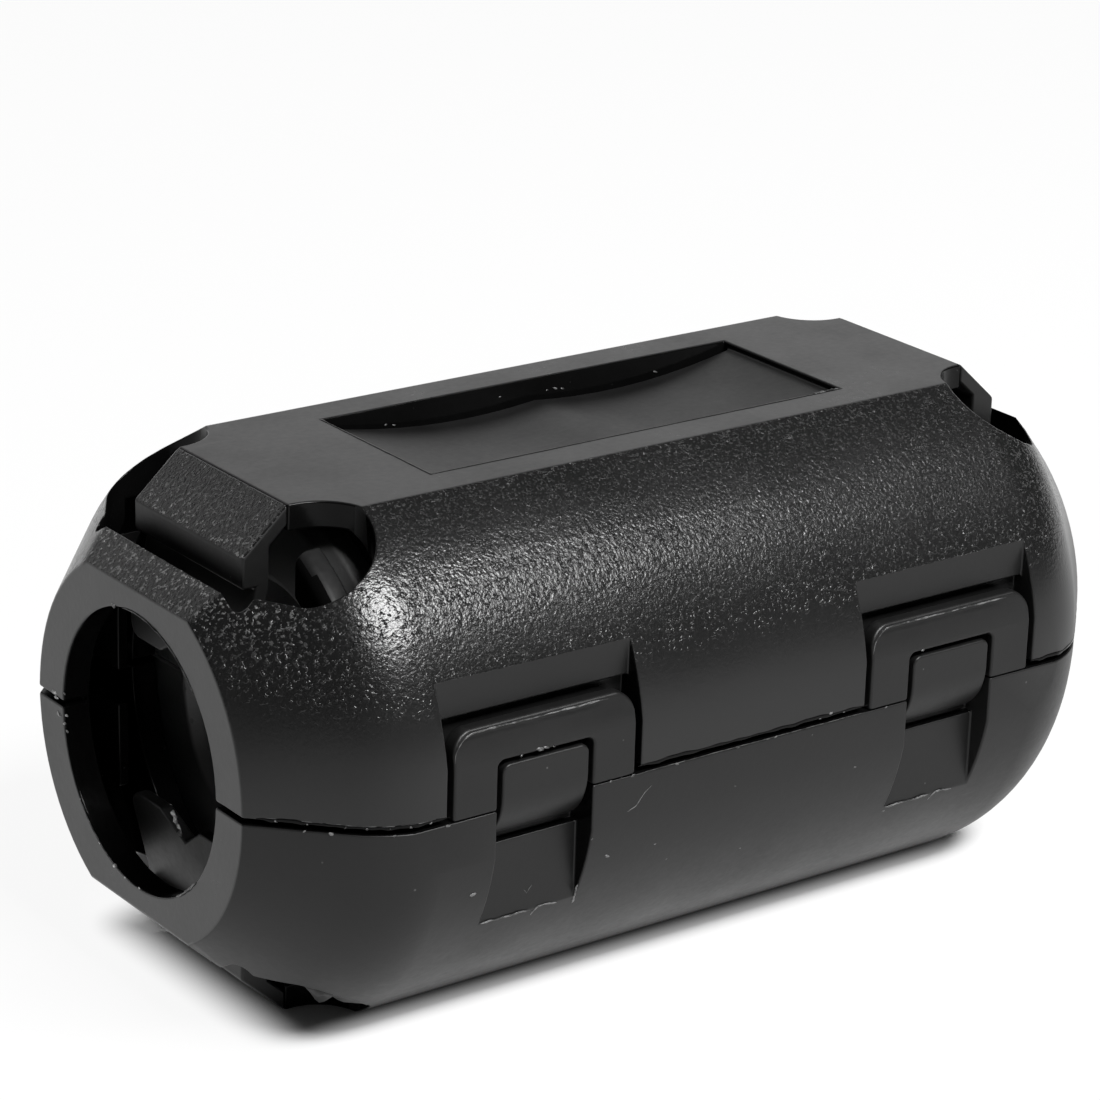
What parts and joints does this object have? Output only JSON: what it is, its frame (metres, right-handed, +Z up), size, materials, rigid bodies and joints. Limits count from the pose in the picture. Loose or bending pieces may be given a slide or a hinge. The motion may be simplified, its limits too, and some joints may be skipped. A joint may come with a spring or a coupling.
{
  "type": "clip on ferrite bead",
  "caption": "Clip-on ferrite bead: a hinged black plastic housing that closes a split ferrite core round a cable and latches at the side.",
  "frame": {"origin": "on the cable's axis, halfway along the bead, in the parting plane of the closed housing", "axes": "+X along the cable, latches on the -Y side, hinge on the +Y side, +Z up through the lid's flat"},
  "size_m": [0.035, 0.0202, 0.0176],
  "materials": {
    "housing_plastic": "black nylon, spark-eroded on the lid's round sides and smooth elsewhere",
    "clip_plastic": "smooth black nylon",
    "core_ferrite": "sintered dark grey ferrite with ground mating faces"
  },
  "bodies": {
    "base": {"base_shell": "housing_plastic", "base_core": "core_ferrite", "base_grip_front": "clip_plastic", "base_grip_rear": "clip_plastic", "latch_loop_front": "clip_plastic", "latch_loop_rear": "clip_plastic", "hinge_strap_front": "clip_plastic", "hinge_strap_rear": "clip_plastic"},
    "lid": {"lid_shell": "housing_plastic", "lid_core": "core_ferrite", "lid_grip_front": "clip_plastic", "lid_grip_rear": "clip_plastic"}
  },
  "joints": [
    {"name": "lid_hinge", "type": "hinge", "parent": "base", "child": "lid", "pos_m": [0, 0.0101, 0], "axis": [-1, 0, 0], "range_deg": [0, 180], "deforming": ["base_grip_front", "base_grip_rear", "lid_grip_front", "lid_grip_rear", "latch_loop_front", "latch_loop_rear", "hinge_strap_front", "hinge_strap_rear"]}
  ]
}
